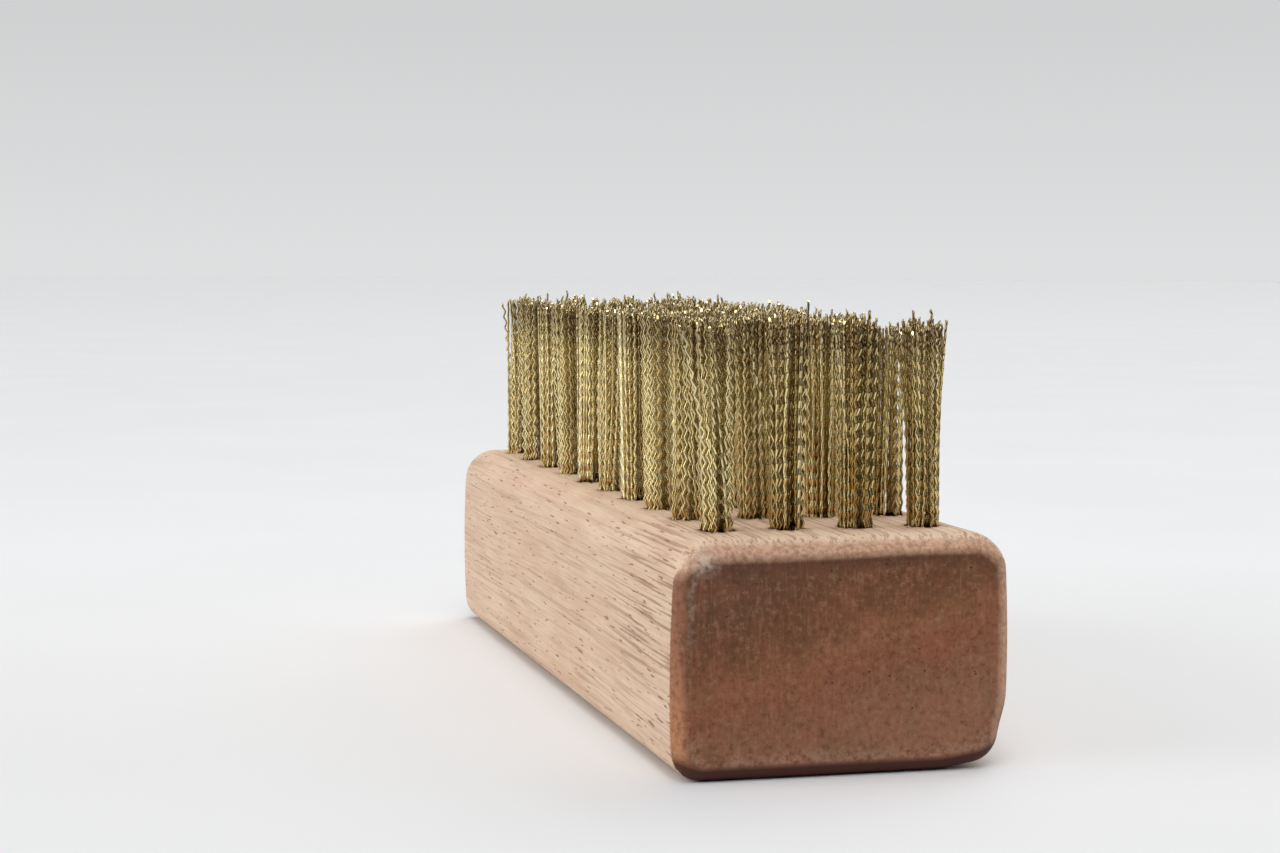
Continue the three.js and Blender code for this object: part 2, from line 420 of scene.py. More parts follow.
def wood_material():
    s = Shader("block_hardwood")
    spot = s.node("SeparateXYZ", {"Vector": s.place()}).outputs
    border = s.attribute("border")
    speck = s.noise(s.place((2.2, 2.2, 2.2)), detail=3.0, rough=0.65)
    side, fine, grooves = side_grain(s, spot)
    end, pores = end_grain(s, speck)
    end = end_rim(s, end, spot, border, speck)
    end, cut = sanded_edges(s, end, spot, border, speck, fine)
    colour, chip = rubbed_marks(s, s.mix(cut, side, end), border, speck)
    # Inside the holes the wood is painted darker: painted shade.
    colour = s.mix(s.math("MULTIPLY", s.attribute("hole"), 0.75), colour, (0.28, 0.155, 0.085))

    rough = s.remap(s.math("ADD", fine, speck), 0.7, 1.3, 0.58, 0.80)
    side_height = s.math("ADD", s.math("MULTIPLY", fine, 0.7), s.math("MULTIPLY", grooves, -0.6))
    end_height = s.math("ADD", speck, s.math("MULTIPLY", s.math("ADD", pores, chip), -1.0))
    relief = s.math("ADD", s.math("MULTIPLY", side_height, s.math("SUBTRACT", 1.0, cut)),
                    s.math("MULTIPLY", end_height, cut))
    bump = s.bump(relief, 0.045, 0.7)
    return s.finish(Base_Color=colour, Roughness=rough, Normal=bump, Specular_IOR_Level=0.2)


def brass_material(name, bright, dull):
    s = Shader(name)
    film = s.noise(s.place((0.5, 0.5, 0.25)), detail=2.0)
    grime = s.noise(s.place((1.6, 1.6, 0.5), (5, 2, 8)), detail=2.0, rough=0.5)
    tone = s.math("ADD", s.attribute("tone"), s.remap(film, 0.3, 0.7, -0.2, 0.2))
    colour = s.mix(tone, bright, dull)
    colour = s.mix(s.remap(grime, 0.52, 0.74, 0, 0.2), colour, (0.38, 0.27, 0.11))
    height = s.node("SeparateXYZ", {"Vector": s.place()}).outputs["Z"]
    # Near the block the wires are painted a warmer brown: painted light bounced from the wood, and painted
    # shade.
    root = s.remap(height, HEIGHT + 4.0, HEIGHT - 0.5, 0, 0.36, smooth=True)
    colour = s.mix(root, colour, (0.52, 0.33, 0.12))
    # The last few millimetres are painted darker, as painted shade for the dark room that they mirror; not
    # the flat cut ends.
    tip_shade = s.remap(height, HEIGHT + TRIM - 6.0, HEIGHT + TRIM - 0.5, 0, 0.6, smooth=True)
    tip_shade = s.math("MULTIPLY", tip_shade, s.math("SUBTRACT", 1.0, s.attribute("cut")))
    colour = s.mix(tip_shade, colour, (0.26, 0.18, 0.09))
    rough = s.remap(grime, 0.3, 0.75, 0.11, 0.24)
    return s.finish(Base_Color=colour, Roughness=rough, Metallic=1.0)


# ---- block ---------------------------------------------------------------------------------------


def arc(cx, cz, radius, start, stop, count):
    """Points of an arc in the XZ plane, without its last point."""
    angles = np.radians(np.linspace(start, stop, count, endpoint=False))
    return np.c_[cx + radius * np.cos(angles), cz + radius * np.sin(angles)]


def line(a, b, count):
    t = np.linspace(0, 1, count, endpoint=False)[:, None]
    return np.asarray(a) * (1 - t) + np.asarray(b) * t


SIDE_X = WIDTH / 2 - SIDE_BULGE
FLAT_X = SIDE_X - TOP_EDGE  # half the width of the flat top
FOOT_X = SIDE_X - BOTTOM_EDGE
STRAIGHT_Y = LENGTH / 2 - 2.6  # half the straight stretch between the rounded-over ends
CORNER_STEPS = 10
FLAT_STEPS = 26
SIDE_STEPS = 16
ROUND_STEPS = 9
LENGTH_STEPS = 62
HOLE_SIDES = 40
TOP_START = FLAT_STEPS + 2 * CORNER_STEPS + SIDE_STEPS  # where the top's flat begins in the outline
END_RINGS = (0.985, 0.96, 0.92, 0.84, 0.74, 0.62, 0.5, 0.38, 0.26, 0.14)  # shrinking over a flat end
FAR = 9.0  # the border value of what is well away from the ends' edges


def outline(inset):
    """The block's cross-section, inset by so much, anticlockwise from the bottom's left end."""
    top, bottom = TOP_EDGE - inset, BOTTOM_EDGE - inset
    low, high = BOTTOM_EDGE, HEIGHT - TOP_EDGE
    right = SIDE_X - inset
    side = line((right, low), (right, high), SIDE_STEPS)
    height = (side[:, 1] - low) / (high - low)
    side[:, 0] += 4 * SIDE_BULGE * height * (1 - height)
    return np.vstack([
        line((-FOOT_X, inset), (FOOT_X, inset), FLAT_STEPS),
        arc(FOOT_X, low, bottom, -90, 0, CORNER_STEPS),
        side,
        arc(FLAT_X, high, top, 0, 90, CORNER_STEPS),
        line((FLAT_X, HEIGHT - inset), (-FLAT_X, HEIGHT - inset), FLAT_STEPS),
        arc(-FLAT_X, high, top, 90, 180, CORNER_STEPS),
        np.c_[-side[:, 0], low + high - side[:, 1]],
        arc(-FOOT_X, low, bottom, 180, 270, CORNER_STEPS),
    ])


def near_rounding(x, z):
    """The near end's rounding radius round its outline: wider along the top, the most at its left."""
    top = smoothstep(z, HEIGHT - 3.0, HEIGHT - 0.3)
    left = smoothstep(-x, 12.0, 14.5)
    sanded = top * (0.30 + 0.28 * smoothstep(-x, -8.0, 7.0))
    crisper = 0.25 * left * (1 - top) * smoothstep(z, 4, 9)
    return END_EDGE + sanded - crisper


class Surface:
    """The block's vertices, how far each one lies past the flat end faces' edges, and its faces."""

    def __init__(self):
        self.points = np.empty((0, 3))
        self.border = np.empty(0)
        self.faces = []

    def add(self, points, border=FAR):
        """Adds vertices and returns the index of the first."""
        start = len(self.points)
        self.points = np.vstack([self.points, points])
        self.border = np.concatenate([self.border, np.broadcast_to(border, len(points))])
        return start

    def add_ring(self, outline_points, y, border=FAR):
        """Adds the vertices of an outline of (x, z) that stands at y."""
        return self.add(np.insert(outline_points, 1, y, axis=1), border)

    def bridge(self, a, b, size, skip=()):
        """Joins two rings, which begin at a and b, with a band of faces."""
        for i in range(size):
            if i not in skip:
                j = (i + 1) % size
                self.faces.append((a + i, b + i, b + j, a + j))


def add_skin(surface):
    """The block's outside, without the flat of its top. Returns where each ring of the straight begins."""
    skin = outline(0.0)
    inward = outline(1.0) - skin  # how a point of the outline moves as the outline is inset by 1 mm
    size = len(skin)
    half = LENGTH / 2
    radii = {-1: near_rounding(*skin.T), 1: np.full(size, END_EDGE)}
    turns = np.linspace(0, math.pi / 2, ROUND_STEPS + 1)

    def rounded_ring(end, turn):
        radius = radii[end]
        inset = radius * (1 - math.sin(turn))
        y = end * (half - radius * (1 - math.cos(turn)))
        return surface.add_ring(skin + inset[:, None] * inward, y, radius * turn)

    rings = [rounded_ring(-1, turn) for turn in turns]
    rings += [surface.add_ring(skin, y) for y in np.linspace(-STRAIGHT_Y, STRAIGHT_Y, LENGTH_STEPS)]
    rings += [rounded_ring(1, turn) for turn in reversed(turns)]
    top_flat = set(range(TOP_START, TOP_START + FLAT_STEPS))
    for index, (a, b) in enumerate(zip(rings, rings[1:])):
        between_flats = ROUND_STEPS <= index < len(rings) - 1 - ROUND_STEPS
        surface.bridge(a, b, size, top_flat if between_flats else ())

    # Flat ends: rings shrinking to a small middle face.
    centre = np.array([0.0, HEIGHT / 2])
    for end, last in ((-1, rings[0]), (1, rings[-1])):
        edge = skin + radii[end][:, None] * inward
        reach = -((edge - centre) * inward).sum(1)
        for shrink in END_RINGS:
            ring = surface.add_ring(centre + (edge - centre) * shrink, end * half, -(1 - shrink) * reach)
            a, b = (last, ring) if end > 0 else (ring, last)
            surface.bridge(a, b, size)
            last = ring
        middle_face = range(last, last + size)
        surface.faces.append(tuple(reversed(middle_face) if end > 0 else middle_face))
    return rings[ROUND_STEPS : len(rings) - ROUND_STEPS]


def add_top(surface, rings, rng):
    """The top's flat, with a round mouth for each tuft. Returns the vertices round each mouth."""
    edge_index = [rings[0] + TOP_START + FLAT_STEPS - i for i in range(FLAT_STEPS + 1)]
    edge_index += [ring + TOP_START for ring in rings[1:]]
    edge_index += [rings[-1] + TOP_START + i for i in range(1, FLAT_STEPS + 1)]
    edge_index += [ring + TOP_START + FLAT_STEPS for ring in reversed(rings[1:-1])]
    flat_points = [tuple(p) for p in surface.points[edge_index][:, :2]]
    count = len(flat_points)
    edges = [(i, (i + 1) % count) for i in range(count)]

    holes = np.array([(x, y) for _, _, x, y, _ in tuft_places()])
    angles = np.linspace(0, 2 * math.pi, HOLE_SIDES, endpoint=False)
    mouths = []
    for x, y in holes:
        radius = HOLE_RADIUS + rng.normal(0, 0.03, HOLE_SIDES)
        first = len(flat_points)
        flat_points += zip(x + radius * np.cos(angles), y + radius * np.sin(angles))
        edges += [(first + i, first + (i + 1) % HOLE_SIDES) for i in range(HOLE_SIDES)]
        mouths.append(first)
    last_mouth = len(flat_points)
    for gx in np.arange(-FLAT_X + 1.1, FLAT_X - 0.5, 1.15):
        for gy in np.arange(-STRAIGHT_Y + 1.0, STRAIGHT_Y - 0.5, 1.4):
            if min((gx - x) ** 2 + (gy - y) ** 2 for x, y in holes) > (HOLE_RADIUS + 0.55) ** 2:
                flat_points.append((gx, gy))

    flat, _, triangles, origins, _, _ = delaunay_2d_cdt([Vector(p) for p in flat_points], edges, [], 0, 1e-5)
    vertex_of = []  # from a point of flat to a vertex of the block
    index_of = {}  # from a point of flat_points to a vertex of the block
    new_points = []
    for point, old in zip(flat, origins):
        on_edge = [edge_index[o] for o in old if o < count]
        if on_edge:
            vertex = on_edge[0]
        else:
            vertex = len(surface.points) + len(new_points)
            burr = np.clip(rng.normal(0.03, 0.05), 0, 0.15) if old and old[0] < last_mouth else 0.0
            new_points.append((*point, HEIGHT + burr))
        vertex_of.append(vertex)
        index_of.update({o: vertex for o in old})
    surface.add(np.array(new_points))

    flat = np.array([tuple(p) for p in flat])
    centres = np.array([flat[list(t)].mean(0) for t in triangles])
    to_hole = np.sqrt(((centres[:, None] - holes[None]) ** 2).sum(2)).min(1)
    for triangle, gap in zip(triangles, to_hole):
        if gap > HOLE_RADIUS - 0.02:
            surface.faces.append(tuple(vertex_of[i] for i in triangle))
    return [[index_of[first + i] for i in range(HOLE_SIDES)] for first in mouths]


def add_holes(surface, mouths):
    """The walls of the holes, from their mouths down to the drill points. Returns their first vertex."""
    levels = ((HOLE_RADIUS, HEIGHT - 0.12), (HOLE_RADIUS - 0.02, HEIGHT - 0.6),
              (HOLE_RADIUS, HEIGHT - 3.0), (HOLE_RADIUS, HOLE_FLOOR))
    start = len(surface.points)
    angles = np.linspace(0, 2 * math.pi, HOLE_SIDES, endpoint=False)
    following = [(i + 1) % HOLE_SIDES for i in range(HOLE_SIDES)]
    for (_, _, x, y, _), above in zip(tuft_places(), mouths):
        for radius, z in levels:
            wall = [(x + radius * math.cos(angle), y + radius * math.sin(angle), z) for angle in angles]
            first = surface.add(np.array(wall))
            here = range(first, first + HOLE_SIDES)
            surface.faces += [(above[i], above[j], here[j], here[i]) for i, j in enumerate(following)]
            above = here
        tip = surface.add(np.array([(x, y, HOLE_FLOOR - DRILL_POINT)]))
        surface.faces += [(above[i], above[j], tip) for i, j in enumerate(following)]
    return start


def make_block(rng):
    surface = Surface()
    rings = add_skin(surface)
    mouths = add_top(surface, rings, rng)
    first_in_hole = add_holes(surface, mouths)
    in_hole = (np.arange(len(surface.points)) >= first_in_hole).astype(float)
    x, y, z = surface.points.T
    obj = mesh_object("block_hardwood", worn_shape(surface.points, in_hole, rng), surface.faces)
    point_attribute(obj, "border", surface.border)
    near_end = smoothstep(-y, LENGTH / 2 - 4, LENGTH / 2 - 3) * (1 - in_hole)
    point_attribute(obj, "left_edge", near_end * smoothstep(-x, 10.5, 12.5) * smoothstep(z, 6.5, 17.5))
    point_attribute(obj, "hole", in_hole)
    obj.data.materials.append(wood_material())
    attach(obj, "root")
    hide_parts("block")


def worn_shape(points, in_hole, rng):
    """Slow hand-sanded waves over the sides, and the bottom's near right corner knocked off."""
    moved = points.copy()
    keep = (1 - in_hole) * smoothstep(points[:, 2], 0.0, 1.5)
    for axis, middle in ((0, 0), (2, HEIGHT / 2)):
        wave = np.zeros(len(points))
        for _ in range(5):
            frequency = rng.normal(0, 1, 3) * (0.25, 0.08, 0.25)
            wave += np.sin(points @ frequency + rng.uniform(0, 2 * math.pi))
        from_middle = points[:, axis] - middle
        weight = smoothstep(np.abs(from_middle), 6.0, 9.5)
        if axis == 2:
            weight = weight * smoothstep(np.abs(points[:, 0]), FLAT_X, FLAT_X + 2)
        moved[:, axis] -= np.sign(from_middle) * weight * keep * 0.012 * (wave + 2)
    from_corner = np.linalg.norm((points - (WIDTH / 2, -LENGTH / 2, 0)) / (1, 2, 1), axis=1)
    moved += smoothstep(from_corner, 6.5, 2.0)[:, None] * np.array([-0.55, 0.1, 0.42])
    return moved


# ---- tufts ---------------------------------------------------------------------------------------


def half_moon(rng):
    """Where the legs on one side of the anchor stand at the hole's mouth, x outward."""
    turn = rng.uniform(0, math.pi / 3)
    cos, sin = math.cos(turn), math.sin(turn)
    points = []
    for i in range(-9, 10):
        for j in range(-9, 10):
            x = WIRE_SPACING * (i + j / 2)
            y = WIRE_SPACING * j * math.sqrt(3) / 2
            points.append((x * cos - y * sin, x * sin + y * cos))
    points = np.array(points) + rng.uniform(-0.5, 0.5, 2) * WIRE_SPACING
    points += rng.normal(0, 0.035, points.shape)
    radius = np.hypot(points[:, 0], points[:, 1])
    return points[(radius < HOLE_RADIUS - MOUTH_GAP) & (points[:, 0] > LEG_GAP)]


def crimp_levels(tip, phase):
    """Heights of each leg's points, from its tip down: at its crimps' bends, and closer near the tip."""
    half = CRIMP_LENGTH / 2
    first = np.ceil(LOWEST_CRIMP / half + phase / math.pi)  # the lowest crimp, counted in halves
    buried = int((FREE_CRIMP - ANCHOR_BOTTOM) / half)
    total = int((TOP_CRIMP - ANCHOR_BOTTOM) / half) - 1
    turns = [float(k) for k in range(buried)]
    for k in range(buried, total):
        turns += [k - CRIMP_BEND / math.pi, k, k + CRIMP_BEND / math.pi]
    bends = (first[:, None] + np.array(turns) - phase[:, None] / math.pi) * half
    t = np.linspace(1, 0, TIP_POINTS, endpoint=False)
    free = bends[:, -1:] + (tip[:, None] - bends[:, -1:]) * t
    return np.concatenate([free, bends[:, ::-1], np.full((len(tip), 1), ANCHOR_BOTTOM)], 1)


def leg_habits(rng, root, taller, bent):
    """Each leg's tip height, tilt, the height above the block where the tilt starts, and crimp swing."""
    count = len(root)
    tip = HEIGHT + TRIM - 0.35 + taller + rng.normal(0, 0.34, count)
    tip += (rng.random(count) < 0.05) * rng.uniform(0.3, 0.9, count)
    # Most wires keep to the bundle; some bend away from it part of the way up.
    tilt = rng.normal(0, 0.007, (count, 2))
    loose = rng.random(count)
    stray = loose < 0.13
    wild = loose < 0.02
    outward = root / np.maximum(np.hypot(root[:, 0], root[:, 1]), 0.2)[:, None]
    tilt += stray[:, None] * (outward * rng.uniform(0.0, 0.05, (count, 1))
                              + rng.normal(0, 0.02, (count, 2)))
    tilt += wild[:, None] * outward * rng.uniform(0.03, 0.09, (count, 1))
    start = np.where(stray, rng.uniform(1, 11, count), 0)
    swing = CRIMP_SWING * rng.uniform(0.8, 1.15, count)
    swing = np.where(rng.random(count) < 0.05, 0.03, swing)
    for root_x, root_y, height, tilt_x, tilt_y, extra, sway in bent:
        nearest = np.argmin(np.hypot(root[:, 0] - root_x, root[:, 1] - root_y))
        start[nearest] = height
        tilt[nearest] = tilt_x, tilt_y
        tip[nearest] += extra
        swing[nearest] *= sway
    return np.maximum(tip, LOWEST_TIP), tilt, start, swing


def leg_paths(rng, root, side, lean, phase, plane, taller, bent):
    """Paths of the legs on one side, from their tips down to the anchor: array (leg, point, xyz)."""
    count = len(root)
    tip, tilt, start, swing = leg_habits(rng, root, taller, bent)

    # Crimps: a flat zigzag in each wire, most of them in step with their neighbours.
    in_step = rng.random(count) < 0.93
    own_phase = np.where(in_step, phase + rng.normal(0, 0.7, count),
                         rng.uniform(0, 2 * math.pi, count))
    own_plane = np.where(rng.random(count) < 0.85, plane + rng.normal(0, 0.4, count),
                         rng.uniform(0, math.pi, count))
    z = crimp_levels(tip, own_phase)
    above = np.clip(z - HEIGHT, 0, None)
    rise = above / TRIM

    # The two halves close up above the hole, and the bundle opens a little at the tips.
    spread = side * (0.10 + 1.2 * (np.abs(root[:, :1]) - LEG_GAP))
    x = root[:, :1] + (spread - root[:, :1]) * smoothstep(above, 0, 7)
    waist = 1 + 0.05 * smoothstep(above, 2, TRIM)
    x = x * waist + lean[0] * rise
    y = root[:, 1:] * waist + lean[1] * rise
    free = np.clip(above - start[:, None], 0, None)
    bow = rng.normal(0, 0.045, count)[:, None]
    bowing = np.sin(above * rng.uniform(0.25, 0.5, (count, 1)) + rng.uniform(0, 6, (count, 1)))
    x = x + tilt[:, :1] * free + bow * bowing
    y = y + tilt[:, 1:] * free

    wave = np.cos(2 * math.pi * z / CRIMP_LENGTH + own_phase[:, None])
    wave = np.arcsin(BEND_SHARPNESS * wave) / math.asin(BEND_SHARPNESS)
    wave *= swing[:, None] * (0.45 + 0.55 * smoothstep(z, HEIGHT - 3, HEIGHT + 1.0))
    wave *= smoothstep(z, ANCHOR_BOTTOM, ANCHOR_BOTTOM + 2)
    turning = own_plane[:, None] + rng.normal(0, 0.25, count)[:, None] * rise
    x = x + wave * np.cos(turning)
    y = y + wave * np.sin(turning)
    return np.stack([x, y, z], 2)


def tube_mesh(name, paths, radius, tone, slants):
    """Wires along paths (wire, point, xyz), each a closed tube, in one object.

    slants: the slope in x and y of each wire's two flat cut ends: array (wire, end, xy)."""
    wires, count, _ = paths.shape
    tangent = np.gradient(paths, axis=1)
    tangent /= np.linalg.norm(tangent, axis=2, keepdims=True)
    across = np.array([0.0, 1.0, 0.0]) - tangent[..., 1:2] * tangent
    across /= np.linalg.norm(across, axis=2, keepdims=True)
    other = np.cross(across, tangent)
    turns = np.linspace(0, 2 * math.pi, WIRE_SIDES, endpoint=False)
    ring = (across[:, :, None] * np.cos(turns)[:, None] + other[:, :, None] * np.sin(turns)[:, None])
    offset = radius[:, None, None, None] * ring
    points = paths[:, :, None] + offset
    for end in (0, -1):
        points[:, end, :, 2] += (offset[:, end, :, :2] * slants[:, end, None]).sum(2)
    points = points.reshape(-1, 3)

    wire = np.arange(wires)[:, None, None] * count * WIRE_SIDES
    step = np.arange(count - 1)[None, :, None] * WIRE_SIDES
    side = np.arange(WIRE_SIDES)[None, None, :]
    following = (side + 1) % WIRE_SIDES
    quads = np.stack([wire + step + side, wire + step + WIRE_SIDES + side,
                      wire + step + WIRE_SIDES + following, wire + step + following], 3).reshape(-1, 4)
    first = (np.arange(wires)[:, None] * count * WIRE_SIDES) + np.arange(WIRE_SIDES)
    last = first + (count - 1) * WIRE_SIDES
    caps = np.vstack([first, last[:, ::-1]])

    mesh = bpy.data.meshes.new(name)
    corners = np.concatenate([quads.ravel(), caps.ravel()]).astype(np.int32)
    faces = len(quads) + len(caps)
    starts = np.concatenate([np.arange(len(quads)) * 4,
                             len(quads) * 4 + np.arange(len(caps)) * WIRE_SIDES]).astype(np.int32)
    mesh.vertices.add(len(points))
    mesh.vertices.foreach_set("co", (points * MM).astype(np.float32).ravel())
    mesh.loops.add(len(corners))
    mesh.loops.foreach_set("vertex_index", corners)
    mesh.polygons.add(faces)
    mesh.polygons.foreach_set("loop_start", starts)
    smooth = np.ones(faces, dtype=bool)
    smooth[len(quads):] = False
    mesh.polygons.foreach_set("use_smooth", smooth)

    # One strip of the baking map for each wire.
    uv = mesh.uv_layers.new(name="OFBake")
    strip = (np.arange(wires)[:, None, None] + 0.15) / wires
    wide = 0.7 / wires
    u0 = np.broadcast_to(strip + wide * side / WIRE_SIDES, (wires, count - 1, WIRE_SIDES))
    u1 = np.broadcast_to(strip + wide * (side + 1) / WIRE_SIDES, (wires, count - 1, WIRE_SIDES))
    v0 = (np.arange(count - 1)[None, :, None] + 0.5) / count
    v0 = np.broadcast_to(v0, (wires, count - 1, WIRE_SIDES))
    v1 = v0 + 1 / count
    quad_uv = np.stack([np.stack([u0, v0], 3), np.stack([u0, v1], 3),
                        np.stack([u1, v1], 3), np.stack([u1, v0], 3)], 3).reshape(-1, 2)
    turn_u, turn_v = np.cos(turns), np.sin(turns)
    cap_u = strip[:, 0] + wide * (0.5 + 0.45 * turn_u)
    low = np.stack([cap_u, np.broadcast_to(0.25 / count + 0.2 / count * turn_v, cap_u.shape)], 2)
    high = np.stack([cap_u, np.broadcast_to(1 - 0.25 / count + 0.2 / count * turn_v, cap_u.shape)], 2)
    cap_uv = np.concatenate([low.reshape(-1, 2), high[:, ::-1].reshape(-1, 2)])
    uv.data.foreach_set("uv", np.concatenate([quad_uv, cap_uv]).astype(np.float32).ravel())

    mesh.update(calc_edges=True)
    obj = bpy.data.objects.new(name, mesh)
    bpy.context.scene.collection.objects.link(obj)
    point_attribute(obj, "tone", np.repeat(tone, count * WIRE_SIDES))
    layer = mesh.attributes.new("cut", "FLOAT", "FACE")
    layer.data.foreach_set("value", (~smooth).astype(np.float32))
    return obj


def fold_paths(left, right):
    """Joins each left leg to its right leg under the anchor."""
    start, stop = left[:, -1], right[:, -1]
    half = np.abs(stop[:, 0] - start[:, 0]) / 2
    depth = 0.12 + 0.8 * np.clip(half - 0.2, 0, None) / 1.3
    turns = np.linspace(0, math.pi, FOLD_POINTS + 2)[1:-1]
    t = (1 - np.cos(turns))[None, :] / 2
    x = start[:, :1] + (stop - start)[:, :1] * t
    y = start[:, 1:2] + (stop - start)[:, 1:2] * t
    z = ANCHOR_BOTTOM - depth[:, None] * np.sin(turns)[None, :]
    return np.concatenate([left, np.stack([x, y, z], 2), right[:, ::-1]], 1)


def make_tuft(row, column, x, y, label, material):
    rng = np.random.default_rng(SEED + 100 * row + column)
    right_root = half_moon(rng)
    left_root = right_root * (-1, 1) + rng.normal(0, 0.02, right_root.shape)
    left_root[:, 0] = np.minimum(left_root[:, 0], -LEG_GAP)
    leans = cad_lean(row, column) + rng.normal(0, 0.17, (2, 2))
    habit = {"leans": leans, "taller": 0.0, "crimps": rng.uniform(0, math.pi)}
    habit.update(HABITS.get((row, column), {}))
    leans, taller, plane = habit["leans"], habit["taller"], habit["crimps"]
    bent = BENT_WIRES.get((row, column), ())
    phase = rng.uniform(0, 2 * math.pi)
    left_bent = [wire for wire in bent if wire[0] < 0]
    left = leg_paths(rng, left_root, -1, leans[0], phase, plane, taller, left_bent)
    plane += rng.normal(0, 0.3)
    phase += rng.normal(0, 0.5)
    right_bent = [wire for wire in bent if wire[0] > 0]
    right = leg_paths(rng, right_root, 1, leans[1], phase, plane, taller, right_bent)
    paths = fold_paths(left, right) + (x, y, 0)
    wires = len(paths)
    radius = WIRE_RADIUS * rng.uniform(0.94, 1.05, wires)
    turns = rng.uniform(0, 2 * math.pi, (wires, 2))
    slants = np.stack([np.cos(turns), np.sin(turns)], 2) * rng.uniform(0.1, 1.6, (wires, 2, 1))
    # The wires of the far rows are painted the brightest and those of the near right ones the darkest:
    # painted light and shade, on top of the spread of each wire's own tarnish.
    tarnish_and_shade = 0.14 + max(0.0, 1 - row / 2) * (0.46 if column else 0.21)
    tone = np.clip(tarnish_and_shade + rng.uniform(-0.35, 0.35, wires), 0, 1)
    obj = tube_mesh(f"tuft_{label}_wires", paths, radius, tone, slants)
    obj.data.materials.append(material)
    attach(obj, "root")
    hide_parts(f"tuft_{label}")


# ---- anchors -------------------------------------------------------------------------------------


def make_anchor(x, y, label, material, rng):
    """A short piece of flat wire with rounded long edges and sheared ends."""
    thick, length, tall = ANCHOR
    profile = []
    for cx, cz, start in ((1, 1, 0), (-1, 1, 90), (-1, -1, 180), (1, -1, 270)):
        x0, z0 = cx * (thick / 2 - ANCHOR_EDGE), cz * (tall / 2 - ANCHOR_EDGE)
        turns = np.radians(np.linspace(start, start + 90, 5))
        profile.append(np.c_[x0 + ANCHOR_EDGE * np.cos(turns), z0 + ANCHOR_EDGE * np.sin(turns)])
    profile = np.vstack(profile)
    stations = np.array([-0.5, -0.49, -0.3, -0.1, 0.1, 0.3, 0.49, 0.5]) * length
    bow = rng.normal(0, 0.02)
    rings = []
    for index, station in enumerate(stations):
        shrink = 0.86 if index in (0, len(stations) - 1) else 1.0
        sheared = abs(station) > 0.4 * length
        slant = 0.05 * np.sign(station) * profile[:, 1] / tall if sheared else 0.0
        ring = np.c_[profile[:, 0] * shrink + bow * (station / length) ** 2,
                     np.full(len(profile), station) - slant, profile[:, 1] * shrink]
        rings.append(ring + (x, y, ANCHOR_BOTTOM + tall / 2))
    size = len(profile)
    faces = []
    for k in range(len(rings) - 1):
        for i in range(size):
            j = (i + 1) % size
            faces.append((k * size + i, (k + 1) * size + i, (k + 1) * size + j, k * size + j))
    faces.append(tuple(range(size)))
    faces.append(tuple(reversed(range((len(rings) - 1) * size, len(rings) * size))))
    obj = mesh_object(f"anchor_{label}", np.vstack(rings), faces)
    point_attribute(obj, "tone", np.full(size * len(rings), rng.random()))
    obj.data.materials.append(material)
    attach(obj, "root")


# ---- stage, lights and camera --------------------------------------------------------------------


FLOOR_FRONT = -260.0
FLOOR_RADIUS = 4000.0
FLOOR_LEVEL = -0.02  # a hair below the block, so that the two faces don't flicker
POOL = (0, 90)  # the middle of the pool of light on the floor


def make_floor():
    """A wide sheet of pale paper that ends in front, painted a little darker away from the pool of light
    (painted shade).
    """
    sides = 96
    angles = np.linspace(0, 2 * math.pi, sides, endpoint=False)
    ring = [(FLOOR_RADIUS * math.cos(angle), max(FLOOR_RADIUS * math.sin(angle), FLOOR_FRONT), FLOOR_LEVEL)
            for angle in angles]
    floor = mesh_object("floor", ring, [tuple(range(sides))], smooth=False)
    s = Shader("floor_paper")
    paper = s.noise(s.place((0.02, 0.02, 0.02)), detail=2.0)
    colour = s.mix(s.remap(paper, 0.3, 0.7), (0.81, 0.81, 0.812), (0.83, 0.83, 0.832))
    # Painted shade: darker with the distance from the pool of light.
    away = s.vector("DISTANCE", s.place((1, 1, 0)), (*POOL, 0))
    decades = s.math("LOGARITHM", s.math("MULTIPLY", away, 1 / 120), 10.0)
    colour = s.mix(s.remap(decades, -0.2, 1.52, 0.0, 0.17), colour, BLACK)
    floor.data.materials.append(s.finish(Base_Color=colour, Roughness=0.75, Specular_IOR_Level=0.2))


# Two wide suns: name, the direction that each shines from, and strength.
SUNS = (("overhead", (0.0, 0.0, 1.0), 0.70), ("back_right", (0.45, 0.45, 0.77), 0.44))
SUN_WIDTH = 30  # degrees


def add_sun(name, direction, strength):
    light = bpy.data.lights.new(name, "SUN")
    light.energy = strength
    light.angle = math.radians(SUN_WIDTH)
    obj = bpy.data.objects.new(name, light)
    obj.rotation_euler = Vector(direction).to_track_quat("Z", "Y").to_euler()
    bpy.context.scene.collection.objects.link(obj)


# The large soft lights of the studio: azimuth from +X and elevation in degrees, strength, and how fast
# each one falls off from its middle.
SOFTBOXES = (
    (180, 20, 3.60, 12),
    (250, 55, 6.60, 30),
    (0, 20, 1.12, 12),
    (45, 30, 0.69, 3),
    (135, 30, 0.14, 3),
)
ROOM_GLOW = 0.01
BACKDROP = (0.741, 0.638)  # the backdrop's brightness at the horizon and where its gradient ends
BACKDROP_RISE = 0.10  # the sine of the elevation where its gradient ends


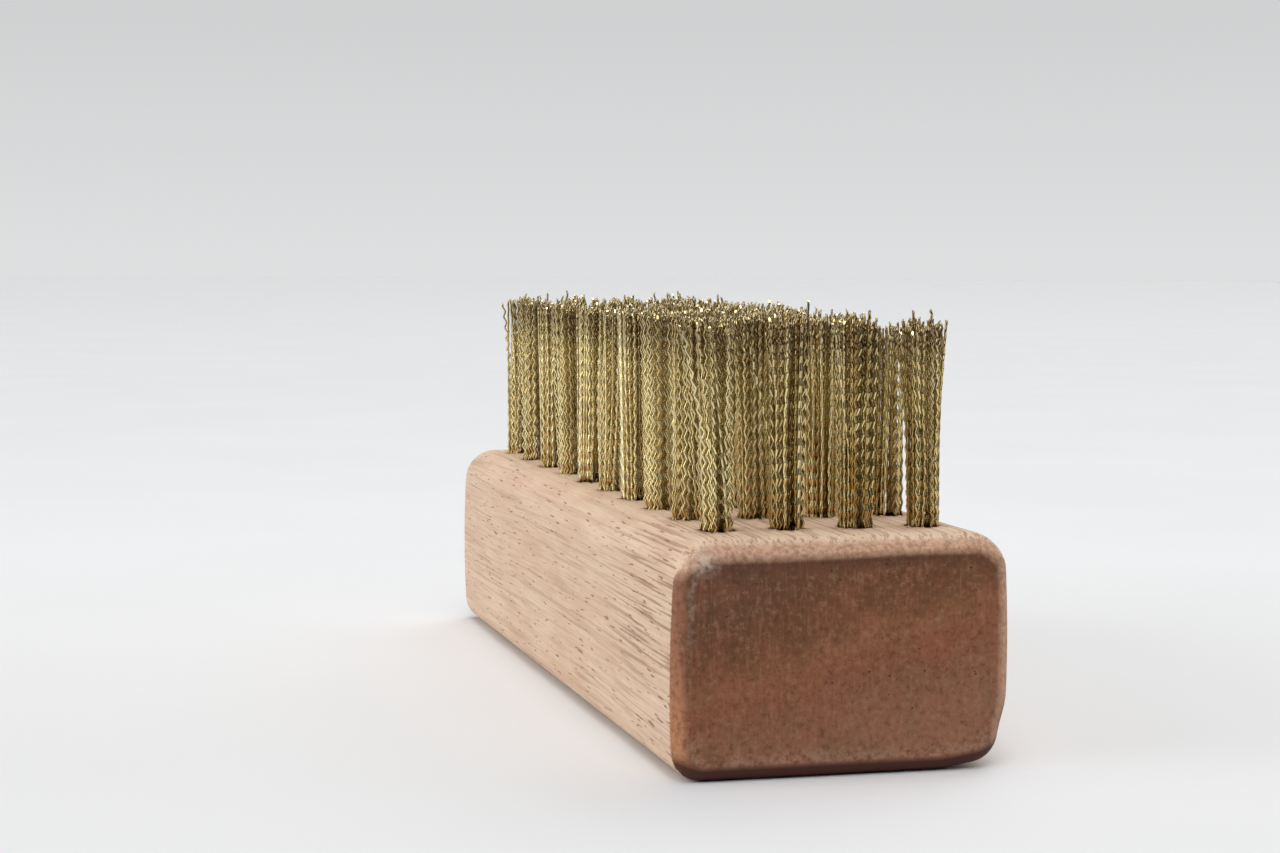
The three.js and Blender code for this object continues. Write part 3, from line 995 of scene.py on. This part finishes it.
def make_world():
    world = bpy.data.worlds.new("studio")
    bpy.context.scene.world = world
    world.use_nodes = True
    world.node_tree.nodes.clear()
    s = NodeTree(world.node_tree)
    coords = s.node("TexCoord").outputs["Generated"]
    glow = ROOM_GLOW
    for azimuth, elevation, strength, falloff in SOFTBOXES:
        a, e = math.radians(azimuth), math.radians(elevation)
        direction = (math.cos(a) * math.cos(e), math.sin(a) * math.cos(e), math.sin(e))
        facing = s.vector("DOT_PRODUCT", coords, direction)
        lobe = s.math("POWER", s.math("MAXIMUM", facing, 0.0), falloff)
        glow = s.math("ADD", glow, s.math("MULTIPLY", lobe, strength))
    light = s.node("Background", {"Color": (0.98, 0.99, 1.0, 1), "Strength": glow})
    # What the camera itself sees behind the floor is a pale backdrop.
    up = s.node("SeparateXYZ", {"Vector": coords}).outputs["Z"]
    pale = s.remap(up, 0.0, BACKDROP_RISE, *BACKDROP)
    backdrop = s.node("Background", {"Color": (0.985, 0.99, 1.0, 1), "Strength": pale})
    seen = s.node("LightPath").outputs["Is Camera Ray"]
    choice = s.node("MixShader", {"Fac": seen, 1: light.outputs[0], 2: backdrop.outputs[0]})
    s.node("OutputWorld", {"Surface": choice.outputs[0]})


# The camera, as fitted to the tuft grid and the block's outline in the photo: its place in millimetres,
# how far it turns to the right of +Y, looks down and rolls, in radians, and its lens for a 36 mm sensor.
CAMERA_PLACE = (-67.16, -238.87, 43.645)
CAMERA_YAW = 0.2529
CAMERA_PITCH = 0.0708
CAMERA_ROLL = 0.0042
CAMERA_LENS = 68.574


def make_camera():
    level = Vector((math.cos(CAMERA_YAW), -math.sin(CAMERA_YAW), 0))
    ahead = Vector((math.sin(CAMERA_YAW), math.cos(CAMERA_YAW), 0))
    forward = math.cos(CAMERA_PITCH) * ahead - math.sin(CAMERA_PITCH) * Vector((0, 0, 1))
    upright = level.cross(forward)
    right = math.cos(CAMERA_ROLL) * level + math.sin(CAMERA_ROLL) * upright
    up = -math.sin(CAMERA_ROLL) * level + math.cos(CAMERA_ROLL) * upright
    camera = bpy.data.cameras.new("camera")
    camera.sensor_width = 36
    camera.lens = CAMERA_LENS
    camera.clip_start = 0.01
    obj = bpy.data.objects.new("camera", camera)
    turn = Matrix((right, up, -forward)).transposed().to_4x4()
    obj.matrix_world = Matrix.Translation(Vector(CAMERA_PLACE) * MM) @ turn
    bpy.context.scene.collection.objects.link(obj)
    bpy.context.scene.camera = obj


# ---- build ---------------------------------------------------------------------------------------

bpy.context.scene.view_settings.view_transform = "Standard"
make_floor()
make_world()
for sun in SUNS:
    add_sun(*sun)
make_camera()

make_block(np.random.default_rng(SEED))
wire_brass = brass_material("tuft_brass_wire", (0.98, 0.845, 0.47), (0.42, 0.28, 0.085))
anchor_brass = brass_material("anchor_brass_strip", (0.74, 0.60, 0.28), (0.60, 0.47, 0.20))
anchor_rng = np.random.default_rng(SEED + 7)
for row, column, x, y, label in tuft_places():
    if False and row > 2 and column not in (0, 3):
        continue
    make_tuft(row, column, x, y, label, wire_brass)
    make_anchor(x, y, label, anchor_brass, anchor_rng)
